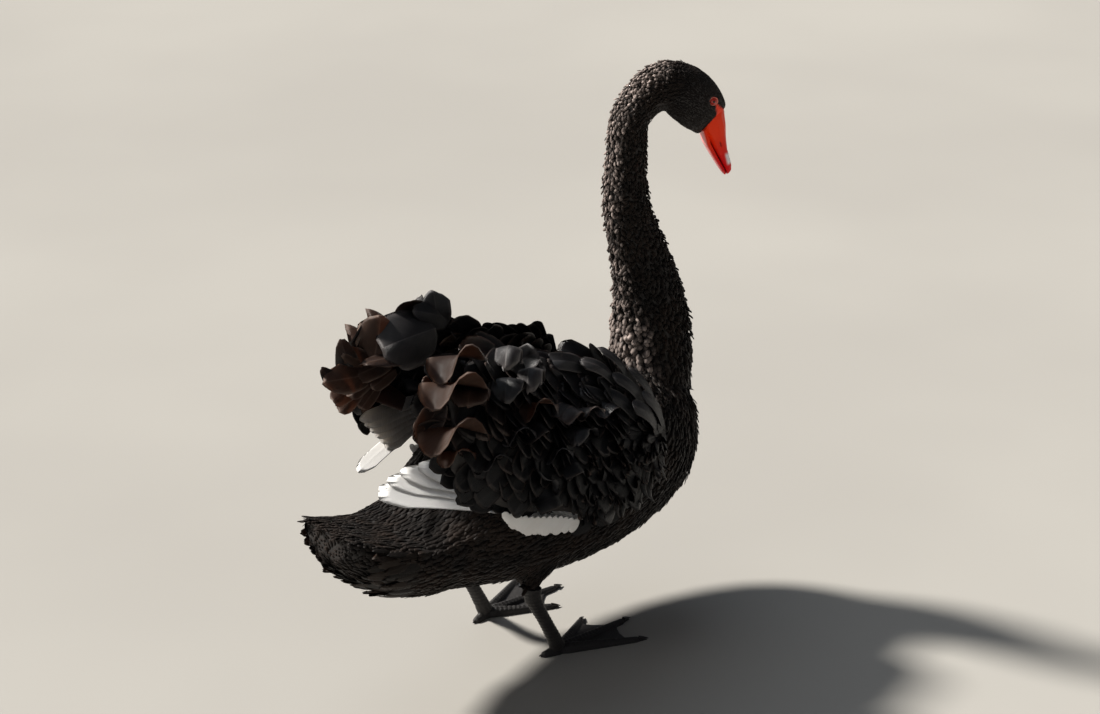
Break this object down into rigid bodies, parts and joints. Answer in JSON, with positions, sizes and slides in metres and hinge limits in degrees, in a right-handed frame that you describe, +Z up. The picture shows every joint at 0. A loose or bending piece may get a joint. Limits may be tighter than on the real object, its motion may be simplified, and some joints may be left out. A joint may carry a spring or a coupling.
{
  "type": "black swan model",
  "caption": "Life-size still model of a standing black swan: long curved neck with the head bent down, raised ruffled wings, red bill, short tail, webbed feet.",
  "frame": {"origin": "on the floor under the middle of the bounding box", "axes": "+X the way the body points, from tail to breast; +Y the left side of the swan; +Z up. The soles stand on the plane Z = 0."},
  "size_m": [0.5976, 0.319, 0.6937],
  "materials": {
    "plumage": "soft matte black-brown feathers",
    "wing_feathers": "dark brown feathers with greyer edges and a silky sheen",
    "white_feathers": "clean matte white feathers",
    "bill": "smooth horn, orange-red to crimson with a white band near the tip",
    "eye": "wet, dark red",
    "leg_skin": "dull black scaly skin"
  },
  "bodies": {
    "root": {"head": "plumage", "neck_upper": "plumage", "neck_middle": "plumage", "neck_lower": "plumage", "trunk": "plumage", "tail": "plumage", "thigh_right": "plumage", "thigh_left": "plumage", "wing_right": "wing_feathers", "wing_left": "wing_feathers", "primaries_right": "white_feathers", "primaries_left": "white_feathers", "bill_upper": "bill", "bill_lower": "bill", "eye_right": "eye", "eye_left": "eye", "shank_right": "leg_skin", "shank_left": "leg_skin", "foot_right": "leg_skin", "foot_left": "leg_skin"}
  },
  "joints": []
}
